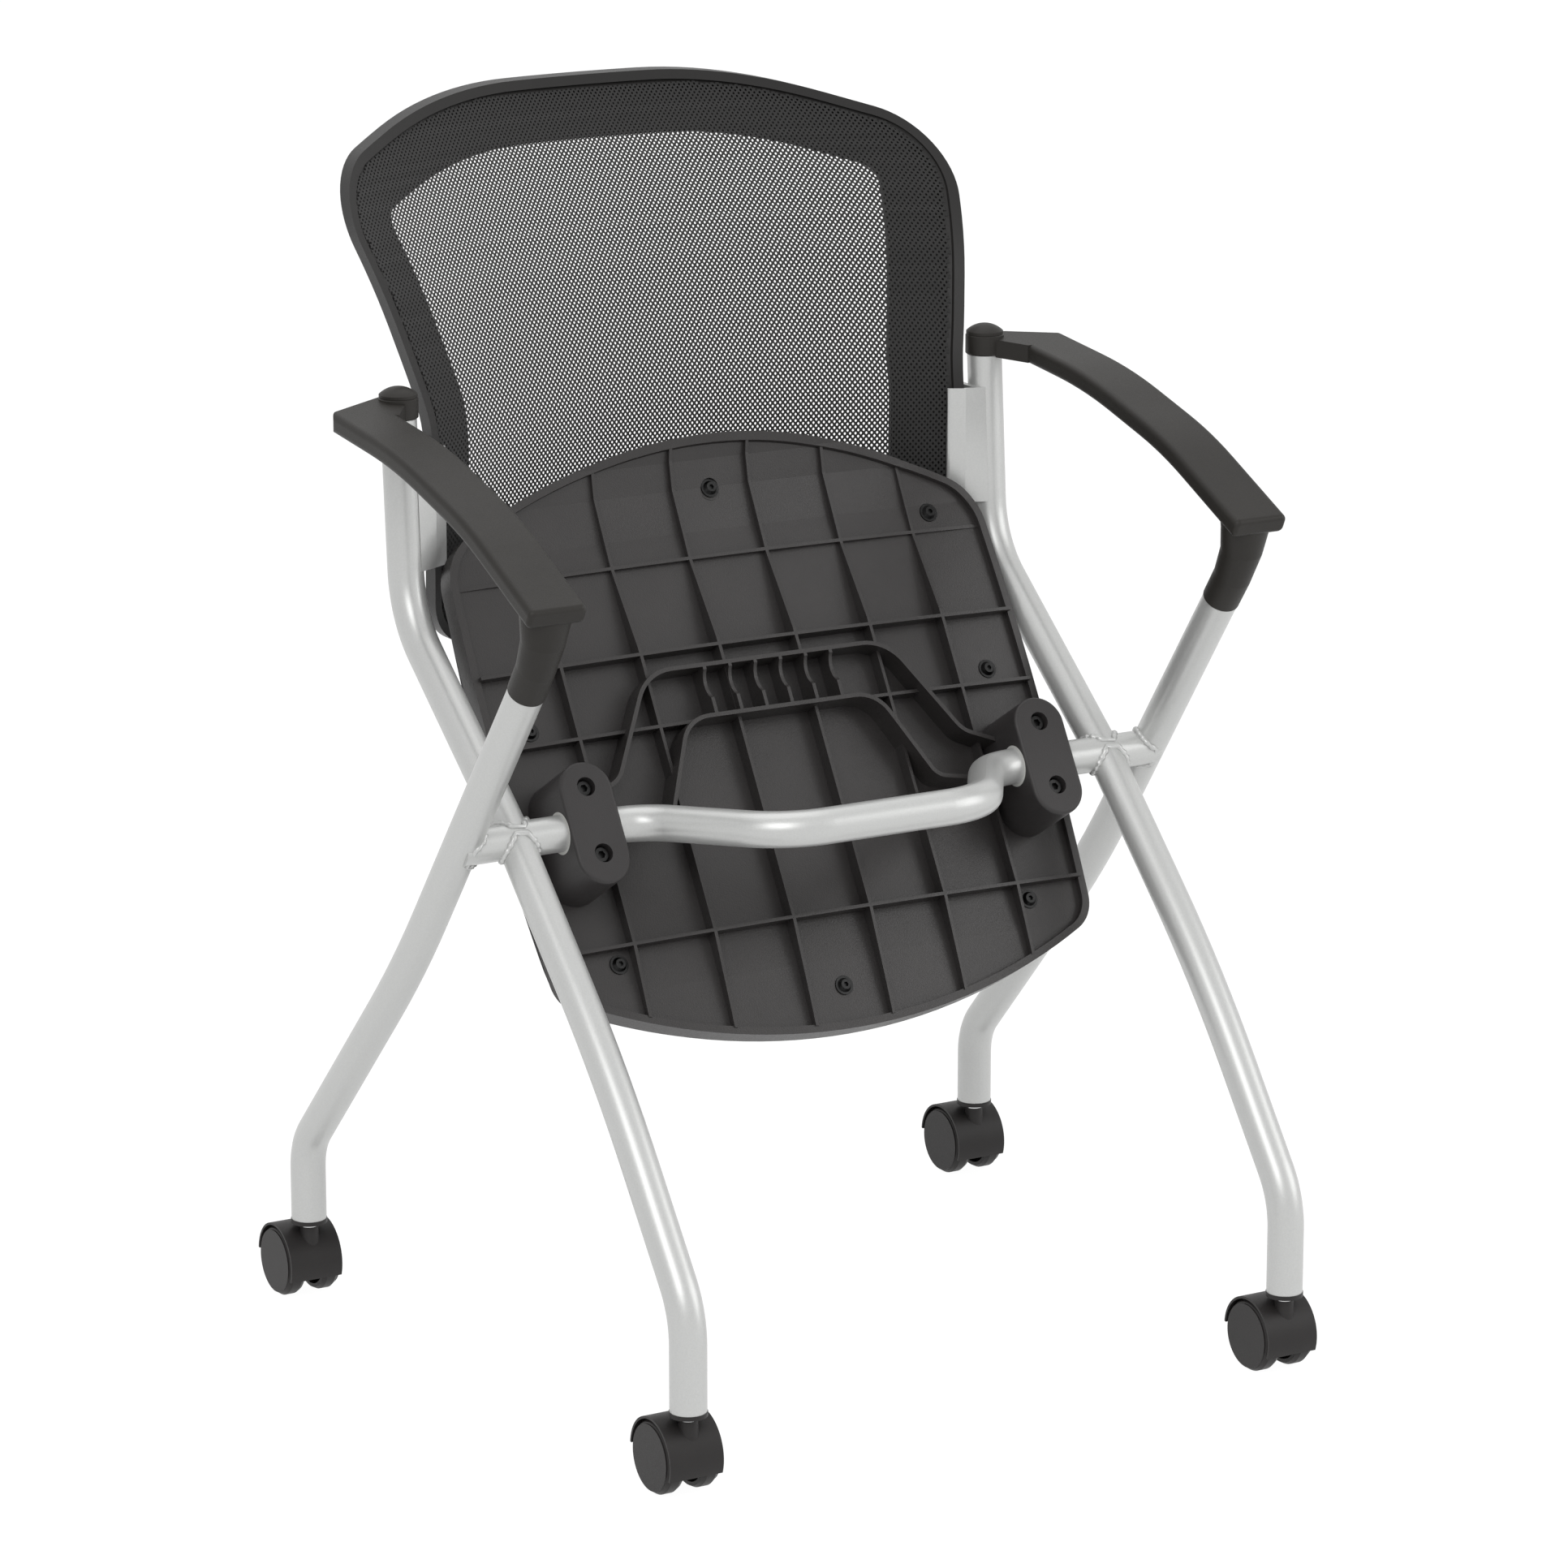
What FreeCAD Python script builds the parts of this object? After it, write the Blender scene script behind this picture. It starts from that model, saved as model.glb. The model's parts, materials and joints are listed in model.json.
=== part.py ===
import FreeCAD, Part
import math
import os

# Nesting chair: tubular steel frame on casters, mesh back, armrests, and a seat that flips up to nest.
# Units are millimetres. +Z is up and the front of the chair is -Y. Left and right are as seen from the
# front, so right is +X. Heights are measured from the floor. Depths are measured from the middle of the
# wheelbase, and are moved to an origin under the middle of the whole chair as each piece is written.

V = FreeCAD.Vector
X_AXIS = V(1, 0, 0)
Y_AXIS = V(0, 1, 0)
Z_AXIS = V(0, 0, 1)

# Frame tubes
tube_d = 25.4
tube_r = tube_d / 2
half_wheelbase = 242.0
leg_end_height = 60.0
origin_depth = 51.4665

arm_leg_top = V(275.0, -93.0, 522.0)
arm_leg_knee = V(279.5, 78.0, 289.5)
rear_leg_bend = V(282.0, half_wheelbase, 116.0)
arm_leg_knee_radius = 900.0
rear_leg_bend_radius = 45.0

inner_tube_x = 238.0
upright_top = V(inner_tube_x, 165.0, 657.0)
upright_bend = V(inner_tube_x, 155.3, 518.5)
upright_bend_radius = 75.0
front_leg_knee = V(inner_tube_x, -138.5, 262.5)
front_leg_bend = V(inner_tube_x, -half_wheelbase, 127.5)
front_leg_knee_radius = 900.0
front_leg_bend_radius = 65.0

# Cross tube, which is also the seat's hinge pin
pivot_depth = -1.5
pivot_height = 393.8
cross_outer_x = 139.0
cross_inner_x = 78.5
cross_offset_forward = 95.5
cross_offset_up = 7.0
cross_outer_radius = 40.0
cross_inner_radius = 55.0
cope_setback = 2.0

# Seat, which lies flat in its own frame: x across, y towards its front edge, z out of its underside
seat_lean_deg = 58.64
pan_half_width = 220.0
pan_rear_half_width = 213.0
pan_front_half_width = 216.0
pan_front = 276.0
pan_rear = -161.0
pan_front_arc = 426.0
pan_rear_arc = 460.0
pan_front_corner = 42.0
pan_rear_corner = 28.0
skin_t = 3.0
skin_dish = 6.0
rib_dish = 10.0
rim_w = 5.5
rim_stand = 4.5
wall_t = 12.5
rib_t = 2.4
rib_pitch = 62.0
cross_rib_places = (192.0, 125.0, 71.5, -78.0)
arch_t = 3.0
outer_arch_level = -15.0
inner_arch_level = -12.0
fin_t = 2.6
fin_pitch = 20.4
fin_count = 6
saddle_gap = 0.4
outer_arch_y = 109.5
inner_arch_y = 71.5

# Pivot blocks that hang the seat on the cross tube
block_x = 182.7
block_w = 40.0
block_len = 88.0
block_cap_t = 16.7
block_edge = 2.5
block_screw_pitch = 48.0
block_screw_centre = 1.9
block_screw_len = 44.5
screw_recess_r = 6.75
head_sink = 4.0
bush_wall = 2.0
running_gap = 0.05
fit_gap = 0.3

# Board and cushion
cushion_inset = 1.5
cushion_crown = 9.0

# Back frame
back_bottom = 490.0
back_top = 855.5
back_half_width = 215.5
back_bow = 57.0
bow_half_width = 220.0
back_rim_w = 6.5
back_rim_depth = 15.0
band_w = 43.0
band_t = 3.5
mesh_t = 1.0
mesh_setback = 2.0
edging_w = 3.0
opening_columns = 8
opening_rows = 6
opening_bar = 6.0
opening_reach_x = 180.0
opening_low = 535.0
opening_high = 810.0
opening_margin = 3.0

# Back brackets
bracket_bottom = 551.0
bracket_top = 635.0
bracket_t = 2.5
bracket_inner_x = 204.5
flange_end_x = 231.0
flange_weld = 0.6
lug_w = 15.0
lug_stand = 4.0
lug_inset = 4.0
bracket_screw_len = 10.0
bracket_screw_pitch = 44.0

# Armrests
pad_inner_x = 254.0
pad_outer_x = 297.0
pad_corner_y = 150.0
pad_corner = 9.0
nose_edge = 3.5
neck_half = 12.0
neck_root = 34.0
pad_t = 14.0
pad_edge = 4.5
post_half_width = 13.4
post_half_depth = 13.2
# Each ring of the post: its depth, height, lean from upright, half width and half depth
post_stations = ((-106.5, 541.0, 34.0, 13.6, 13.4), (-117.0, 561.0, 22.0, 15.5, 13.8),
                 (-121.5, 579.0, 8.0, 18.5, 14.4), (-123.0, 588.0, 4.0, 20.5, 14.6))
eyelet_r = 14.0
eyelet_t = 15.0
eyelet_edge = 1.0
cap_stem_r = 6.0
cap_r = 13.5
cap_dome = 7.5
spigot_r = 10.5
spigot_len = 25.0

# Casters
wheel_r = 25.5
wheel_outer_x = 20.9
wheel_inner_x = 7.4
wheel_trail = 16.0
axle_r = 3.0
hood_r = 28.0
hood_wall = 1.7
hood_half_w = 20.2
hood_top = 54.0
hood_web_half = 4.5
boss_r = 6.9
stem_r = 5.5
stem_foot = 33.0
insert_flange = 3.0
insert_r = 11.0
insert_depth = 28.0
collar_r = 6.6

# Fasteners
m6_r = 3.0
m6_head_r = 5.0
m6_head_t = 6.0
m5_r = 2.5
m6_socket_r = 2.9
m6_socket_depth = 3.0
m5_head_r = 5.2
m5_head_t = 2.6
m5_head_taper = 1.6
m5_socket_r = 1.9
m5_socket_depth = 1.8
pan_screw_len = 9.0
washer_r = 6.8
washer_t = 1.2
washer_sink = 0.4
boss_wall = 2.0

pivot = V(0, pivot_depth, pivot_height)
nodes = {}


def keep(name, shape):
    """Files a finished piece under its node name."""
    nodes[name] = shape


def mirrored(shape):
    return shape.mirror(V(0, 0, 0), X_AXIS)


def keep_pair(name, shape):
    """Files a +X piece and its mirror image."""
    keep("right_" + name, shape)
    keep("left_" + name, mirrored(shape))


def bent_path(points, radii):
    """A wire of straight runs joined by tangent arcs at its inner points."""
    edges = []
    start = points[0]
    for corner, after, radius in zip(points[1:-1], points[2:], radii):
        back = (start - corner).normalize()
        ahead = (after - corner).normalize()
        half_angle = back.getAngle(ahead) / 2
        reach = radius / math.tan(half_angle)
        first = corner + back * reach
        last = corner + ahead * reach
        bisector = (back + ahead).normalize()
        middle = corner + bisector * (radius / math.sin(half_angle) - radius)
        edges.append(Part.LineSegment(start, first).toShape())
        edges.append(Part.Arc(first, middle, last).toShape())
        start = last
    edges.append(Part.LineSegment(start, points[-1]).toShape())
    return Part.Wire(edges)


def round_bar(points, radii, radius):
    """A round bar swept along a bent path."""
    path = bent_path(points, radii)
    heading = (points[1] - points[0]).normalize()
    ring = Part.Wire([Part.makeCircle(radius, points[0], heading)])
    return path.makePipeShell([ring], True, False)


def rod(start, end, radius):
    return Part.makeCylinder(radius, (end - start).Length, start, end - start)


def box(low, high):
    size = high - low
    return Part.makeBox(size.x, size.y, size.z, low)


def edges_along(shape, axis, length_over=0.0):
    """The straight edges of a shape that run along an axis."""
    found = []
    for edge in shape.Edges:
        if edge.Length > length_over and len(edge.Vertexes) == 2:
            run = edge.Vertexes[1].Point - edge.Vertexes[0].Point
            if abs(run.Length - edge.Length) < 1e-6 and abs(abs(run.normalize() * axis) - 1) < 1e-6:
                found.append(edge)
    return found


def arc_through(a, b, c):
    return Part.Arc(a, b, c).toShape()


def line(a, b):
    return Part.LineSegment(a, b).toShape()


# Frame tubes

def arm_leg_tube():
    """The outer tube, from the armrest's front post down to the rear caster."""
    foot = V(rear_leg_bend.x, half_wheelbase, leg_end_height)
    points = [arm_leg_top, arm_leg_knee, rear_leg_bend, foot]
    return round_bar(points, [arm_leg_knee_radius, rear_leg_bend_radius], tube_r)


def cross_tube(outer_tube):
    """The hinge tube, with its middle carried forward, coped to the outer tubes."""
    end = V(arm_leg_knee.x, pivot.y, pivot.z)
    shoulder = V(cross_outer_x, pivot.y, pivot.z)
    middle = V(cross_inner_x, pivot.y - cross_offset_forward, pivot.z + cross_offset_up)
    half = [end, shoulder, middle]
    other = [V(-p.x, p.y, p.z) for p in reversed(half)]
    radii = [cross_outer_radius, cross_inner_radius, cross_inner_radius, cross_outer_radius]
    bar = round_bar(half + other, radii, tube_r)
    return bar.cut(outer_tube).cut(mirrored(outer_tube))


def back_upright(cross):
    """The inner tube's upper half, welded on the cross tube."""
    joint = V(inner_tube_x, pivot.y, pivot.z)
    start = joint + (upright_bend - joint).normalize() * cope_setback
    bar = round_bar([upright_top, upright_bend, start], [upright_bend_radius], tube_r)
    socket = rod(upright_top - Z_AXIS * spigot_len, upright_top + Z_AXIS, cap_stem_r)
    return bar.cut(cross).cut(socket)


def front_leg(cross):
    """The inner tube's lower half, from the cross tube to the front caster."""
    joint = V(inner_tube_x, pivot.y, pivot.z)
    start = joint + (front_leg_knee - joint).normalize() * cope_setback
    foot = V(inner_tube_x, -half_wheelbase, leg_end_height)
    points = [start, front_leg_knee, front_leg_bend, foot]
    bar = round_bar(points, [front_leg_knee_radius, front_leg_bend_radius], tube_r)
    return bar.cut(cross)


def leg_bore(x, y):
    return Part.makeCylinder(insert_r, insert_depth, V(x, y, leg_end_height))


def build_frame():
    outer = arm_leg_tube()
    cross = cross_tube(outer)
    heading = (arm_leg_knee - arm_leg_top).normalize()
    spigot_hole = rod(arm_leg_top - heading, arm_leg_top + heading * spigot_len, spigot_r)
    rear_bore = leg_bore(rear_leg_bend.x, half_wheelbase)
    front_bore = leg_bore(inner_tube_x, -half_wheelbase)
    keep_pair("arm_leg_tube", outer.cut(spigot_hole).cut(rear_bore))
    keep("cross_tube", cross)
    keep_pair("back_upright", back_upright(cross))
    keep_pair("front_leg", front_leg(cross).cut(front_bore))


# Casters

def leg_insert():
    """The plastic bush pressed into a leg's end, bored for the caster's stem."""
    plug = Part.makeCylinder(insert_r, insert_depth, V(0, 0, leg_end_height))
    flange = Part.makeCylinder(tube_r + 0.4, insert_flange, V(0, 0, leg_end_height - insert_flange))
    foot = V(0, 0, leg_end_height - insert_flange)
    hole = Part.makeCylinder(stem_r, insert_depth + insert_flange - 3, foot)
    return plug.fuse(flange).cut(hole).removeSplitter()


def caster_stem():
    """The steel stem, fixed in the leg, with the bright collar that shows above the hood."""
    foot = stem_foot
    top = leg_end_height + insert_depth - 4
    stem = Part.makeCylinder(stem_r, top - foot, V(0, 0, foot))
    collar_bottom = hood_top + fit_gap
    collar_height = leg_end_height - insert_flange - collar_bottom
    collar = Part.makeCylinder(collar_r, collar_height, V(0, 0, collar_bottom))
    return stem.fuse(collar).removeSplitter()


def caster_hood():
    """The hood over the twin wheels, with its centre web and the tapered stem boss."""
    hub = V(0, wheel_trail, wheel_r)
    shell = Part.makeCylinder(hood_r, 2 * hood_half_w, hub - X_AXIS * hood_half_w, X_AXIS)
    beside = hub - X_AXIS * (hood_half_w + 1)
    hollow = Part.makeCylinder(hood_r - hood_wall, 2 * hood_half_w + 2, beside, X_AXIS)
    web = Part.makeCylinder(hood_r - hood_wall, 2 * hood_web_half, hub - X_AXIS * hood_web_half, X_AXIS)
    front_edge = 15.5
    rear_edge = 28.0
    reach = 2 * hood_r
    low = V(-reach, wheel_trail - hood_r, front_edge)
    high = V(-reach, wheel_trail + hood_r, rear_edge)
    rise = (high - low) * 1.5
    corners = [low - rise, high + rise, high + rise - Z_AXIS * 150, low - rise - Z_AXIS * 150]
    below = Part.Face(Part.makePolygon(corners + [corners[0]])).extrude(X_AXIS * 2 * reach)
    axle_boss = Part.makeCylinder(9.0, 2 * hood_web_half, hub - X_AXIS * hood_web_half, X_AXIS)
    arch = shell.cut(hollow).fuse(web).cut(below).fuse(axle_boss)
    boss = Part.makeCone(boss_r + 1.6, boss_r - 0.4, hood_top - wheel_r, V(0, 0, wheel_r))
    boss = boss.common(box(V(-boss_r, -20, wheel_r - 4), V(boss_r, 20, hood_top + 1)))
    stem_hole = Part.makeCylinder(stem_r + running_gap, hood_top, V(0, 0, stem_foot - 1))
    axle_hole = Part.makeCylinder(axle_r, 60, hub - X_AXIS * 30, X_AXIS)
    return arch.fuse(boss).cut(stem_hole).cut(axle_hole).removeSplitter()


def wheel():
    """One cup-shaped wheel on the +X side, revolved about its axle."""
    bore = axle_r + running_gap
    inner = wheel_inner_x
    outer = wheel_outer_x
    tread = 4.2
    crown = 1.6
    hub_r = 6.5
    hub_x = hood_web_half + fit_gap
    disc = 3.0
    points = [
        V(hub_x, bore, 0), V(outer - 1.0, bore, 0), V(outer - 1.0, 0.9 * wheel_r, 0),
        V(outer - 1.6, wheel_r - crown, 0), V(outer - 4.0, wheel_r, 0), V(inner + 3.0, wheel_r, 0),
        V(inner, wheel_r - crown, 0), V(inner, wheel_r - tread, 0), V(outer - disc, wheel_r - tread, 0),
        V(outer - disc, hub_r, 0), V(hub_x, hub_r, 0),
    ]
    face = Part.Face(Part.makePolygon(points + [points[0]]))
    disc_solid = face.revolve(V(0, 0, 0), X_AXIS, 360)
    cap = Part.makeCylinder(0.9 * wheel_r, 1.0, V(outer - 1.0, 0, 0), X_AXIS)
    whole = disc_solid.fuse(cap).removeSplitter()
    whole.translate(V(0, wheel_trail, wheel_r))
    return whole


def build_casters():
    hood = caster_hood()
    one_wheel = wheel()
    other_wheel = mirrored(one_wheel)
    hub = V(0, wheel_trail, wheel_r)
    axle_half = wheel_outer_x - 1.0 - fit_gap
    axle = Part.makeCylinder(axle_r, 2 * axle_half, hub - X_AXIS * axle_half, X_AXIS)
    feet = {
        "front_left": (-inner_tube_x, -half_wheelbase),
        "front_right": (inner_tube_x, -half_wheelbase),
        "rear_left": (-rear_leg_bend.x, half_wheelbase),
        "rear_right": (rear_leg_bend.x, half_wheelbase),
    }
    pieces = {
        "leg_insert": leg_insert(), "caster_stem": caster_stem(), "caster_hood": hood,
        "caster_axle": axle, "caster_wheel_a": other_wheel, "caster_wheel_b": one_wheel,
    }
    for corner, (x, y) in feet.items():
        for name, shape in pieces.items():
            keep(corner + "_" + name, shape.translated(V(x, y, 0)))


# Seat, built lying flat in its own frame

# Levels along the seat, each a place along it and a level out of the underside, on the middle line
skin_line = ((-185.0, -37.5), (-110.0, -33.0), (212.0, -33.0), (243.0, -30.0), (262.0, -23.0),
             (290.0, -4.0))
rib_line = ((-185.0, -34.0), (-135.0, -27.5), (-78.0, -21.5), (130.0, -20.5), (190.0, -28.5), (243.0, -26.0),
            (262.0, -19.0), (290.0, 0.0))
crown_line = ((-185.0, -60.0), (-120.0, -68.0), (-20.0, -74.0), (100.0, -74.0), (170.0, -69.0), (215.0, -60.0),
              (250.0, -47.0), (272.0, -33.0), (290.0, -18.0))


def moved(levels, amount):
    return [(place, level + amount) for place, level in levels]


def dished_slab(upper, lower, dish):
    """A slab whose faces follow two lines of levels and fall towards the sides on one large arc."""
    radius = pan_half_width ** 2 / (2 * dish)
    points = [V(0, y, z) for y, z in upper] + [V(0, y, z) for y, z in reversed(lower)]
    face = Part.Face(Part.makePolygon(points + [points[0]]))
    half_angle = math.degrees(math.asin((pan_half_width + 25) / abs(radius)))
    centre = V(0, 0, -radius)
    face.rotate(centre, Y_AXIS, -half_angle)
    return face.revolve(centre, Y_AXIS, 2 * half_angle)


def flat_line(level):
    return [(-185.0, level), (290.0, level)]


def flipped(point):
    return V(-point.x, point.y, point.z)


def seat_outline(inset):
    """The seat's outline: bowed front and rear edges, gently bowed sides."""
    rear_w = pan_rear_half_width - inset
    front_w = pan_front_half_width - inset
    rear_fall = pan_rear_arc - math.sqrt(pan_rear_arc ** 2 - rear_w ** 2)
    front_fall = pan_front_arc - math.sqrt(pan_front_arc ** 2 - front_w ** 2)
    rear = V(rear_w, pan_rear + inset + rear_fall, 0)
    front = V(front_w, pan_front - inset - front_fall, 0)
    side = V(pan_half_width - inset, (rear.y + front.y) / 2, 0)
    return Part.Face(Part.Wire([
        arc_through(flipped(rear), V(0, pan_rear + inset, 0), rear),
        arc_through(rear, side, front),
        arc_through(front, V(0, pan_front - inset, 0), flipped(front)),
        arc_through(flipped(front), flipped(side), flipped(rear)),
    ]))


def seat_prism(inset, low=-110.0, high=20.0):
    """The outline with its corners rounded, standing between two levels."""
    block = seat_outline(inset).extrude(V(0, 0, high - low))
    uprights = edges_along(block, Z_AXIS)
    front = [edge for edge in uprights if edge.Vertexes[0].Point.y > 0]
    block = block.makeFillet(pan_front_corner - inset / 2, front)
    uprights = edges_along(block, Z_AXIS)
    rear = [edge for edge in uprights if edge.Vertexes[0].Point.y < 0]
    block = block.makeFillet(pan_rear_corner - inset / 2, rear)
    return block.translated(V(0, 0, low))


def rib_grid():
    """The straight ribs, as plates."""
    plates = []
    for index in range(-3, 3):
        x = (index + 0.5) * rib_pitch
        plates.append(box(V(x - rib_t / 2, pan_rear, -60), V(x + rib_t / 2, pan_front, 0)))
    for place in cross_rib_places:
        low = V(-pan_half_width, place - rib_t / 2, -60)
        plates.append(box(low, low + V(2 * pan_half_width, rib_t, 60)))
    return plates


def arch_rib(foot, knee, shoulder, knee_radius, shoulder_radius, level):
    """A standing rib that follows an arch in plan, up to a level."""
    points = [foot, knee, shoulder, flipped(shoulder), flipped(knee), flipped(foot)]
    points = [p + V(0, 0, level) for p in points]
    radii = [knee_radius, shoulder_radius, shoulder_radius, knee_radius]
    path = bent_path(points, radii)
    heading = (points[1] - points[0]).normalize()
    across = heading.cross(Z_AXIS) * (arch_t / 2)
    down = V(0, 0, skin_line[1][1] - skin_dish - level)
    start = points[0]
    corners = [start - across, start + across, start + across + down, start - across + down]
    section = Part.makePolygon(corners + [corners[0]])
    return path.makePipeShell([section], True, False)


def saddle_path():
    """The cross tube's middle, where the seat finds it once it is folded down."""
    shoulder = V(cross_outer_x, 0, 0)
    middle = V(cross_inner_x, cross_offset_forward, -cross_offset_up)
    start = shoulder + X_AXIS * 80
    points = [start, shoulder, middle, flipped(middle), flipped(shoulder), flipped(start)]
    radii = [cross_outer_radius, cross_inner_radius, cross_inner_radius, cross_outer_radius]
    return points, radii


def saddle_corridor():
    """The room the cross tube needs in the underside: round at the bottom and open above."""
    points, radii = saddle_path()
    radius = tube_r + saddle_gap
    bar = round_bar(points, radii, radius)
    start = points[0]
    section = Part.makePolygon([start + V(0, -radius, 0), start + V(0, radius, 0), start + V(0, radius, 40),
                                start + V(0, -radius, 40), start + V(0, -radius, 0)])
    slot = bent_path(points, radii).makePipeShell([section], True, False)
    return [bar, slot]


def saddle_fins():
    """Short fins between the arches that the cross tube's middle beds in."""
    half_reach = (outer_arch_y - inner_arch_y) / 2
    middle = (outer_arch_y + inner_arch_y) / 2
    fins = []
    for index in range(fin_count):
        x = (index - (fin_count - 1) / 2) * fin_pitch
        low = V(x - fin_t / 2, middle - half_reach, skin_line[1][1] - 1)
        high = V(x + fin_t / 2, middle + half_reach, outer_arch_level)
        fins.append(box(low, high))
    return fins


def block_plan(gap, low, high):
    """The oblong of one pivot block, swollen by a gap, between two levels."""
    radius = block_w / 2 + gap
    offset = (block_len - block_w) / 2
    ends = [Part.makeCylinder(radius, high - low, V(block_x, y, low)) for y in (-offset, offset)]
    middle = box(V(block_x - radius, -offset, low), V(block_x + radius, offset, high))
    return ends[0].fuse([ends[1], middle]).removeSplitter()


def pan_screw_places():
    places = [V(0.0, 242.0, 0), V(0.0, -129.5, 0)]
    for x, y in ((174.0, 206.0), (186.0, 84.0), (166.0, -89.0)):
        places.append(V(x, y, 0))
        places.append(V(-x, y, 0))
    return places


def washer_level(place):
    """The level of the seat that a pan screw's washer lies on."""
    return line_level(skin_line, skin_dish, place) - washer_sink


def screw_bosses():
    """Low round bosses under the washers, level where the skin slopes."""
    bosses = []
    for place in pan_screw_places():
        level = washer_level(place)
        bosses.append(Part.makeCylinder(washer_r + boss_wall, 20, V(place.x, place.y, level - 20)))
    return bosses


def line_level(levels, dish, place):
    """The level of a dished line of levels at a place on the seat."""
    for (y0, z0), (y1, z1) in zip(levels, levels[1:]):
        if y0 <= place.y <= y1:
            middle = z0 + (z1 - z0) * (place.y - y0) / (y1 - y0)
            return middle - dish * (place.x / pan_half_width) ** 2
    return levels[0][1]


def seat_pan():
    """The moulded pan: dished skin, rolled rim, rib grid, two arches, saddle fins and screw seats."""
    outer = seat_prism(0)
    inner = seat_prism(rim_w)
    skin = dished_slab(skin_line, moved(skin_line, -skin_t), skin_dish).common(outer)
    wall = dished_slab(moved(skin_line, rim_stand), moved(skin_line, -wall_t), skin_dish)
    wall = wall.common(outer.cut(inner))
    rib_room = dished_slab(rib_line, flat_line(-90), rib_dish).common(seat_prism(rim_w - 1))
    above_board = dished_slab(flat_line(30), moved(skin_line, -skin_t / 2), skin_dish)
    rib_room = rib_room.common(above_board)
    ribs = [plate.common(rib_room) for plate in rib_grid()]
    arches = [
        arch_rib(V(176, 20, 0), V(139, 36, 0), V(97, outer_arch_y, 0), 20, 34, outer_arch_level),
        arch_rib(V(150, -3, 0), V(107, 5, 0), V(76, inner_arch_y, 0), 14, 26, inner_arch_level),
    ]
    standing = [shape.common(above_board) for shape in arches + saddle_fins() + screw_bosses()]
    pan = skin.fuse([wall] + ribs + standing)
    cuts = saddle_corridor()
    above_skin = dished_slab(flat_line(30), skin_line, skin_dish)
    block = block_plan(fit_gap, -60, 30).common(above_skin)
    cuts += [block, mirrored(block)]
    for x in (block_x, -block_x):
        for y in block_screw_places():
            cuts.append(Part.makeCylinder(m6_r, 60, V(x, y, -60)))
    for place in pan_screw_places():
        level = washer_level(place)
        cuts.append(Part.makeCylinder(washer_r + fit_gap, 40, V(place.x, place.y, level)))
        cuts.append(Part.makeCylinder(m5_r, 60, V(place.x, place.y, -80)))
    return pan.cut(cuts).removeSplitter()


def block_screw_places():
    return (block_screw_centre - block_screw_pitch / 2, block_screw_centre + block_screw_pitch / 2)


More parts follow.
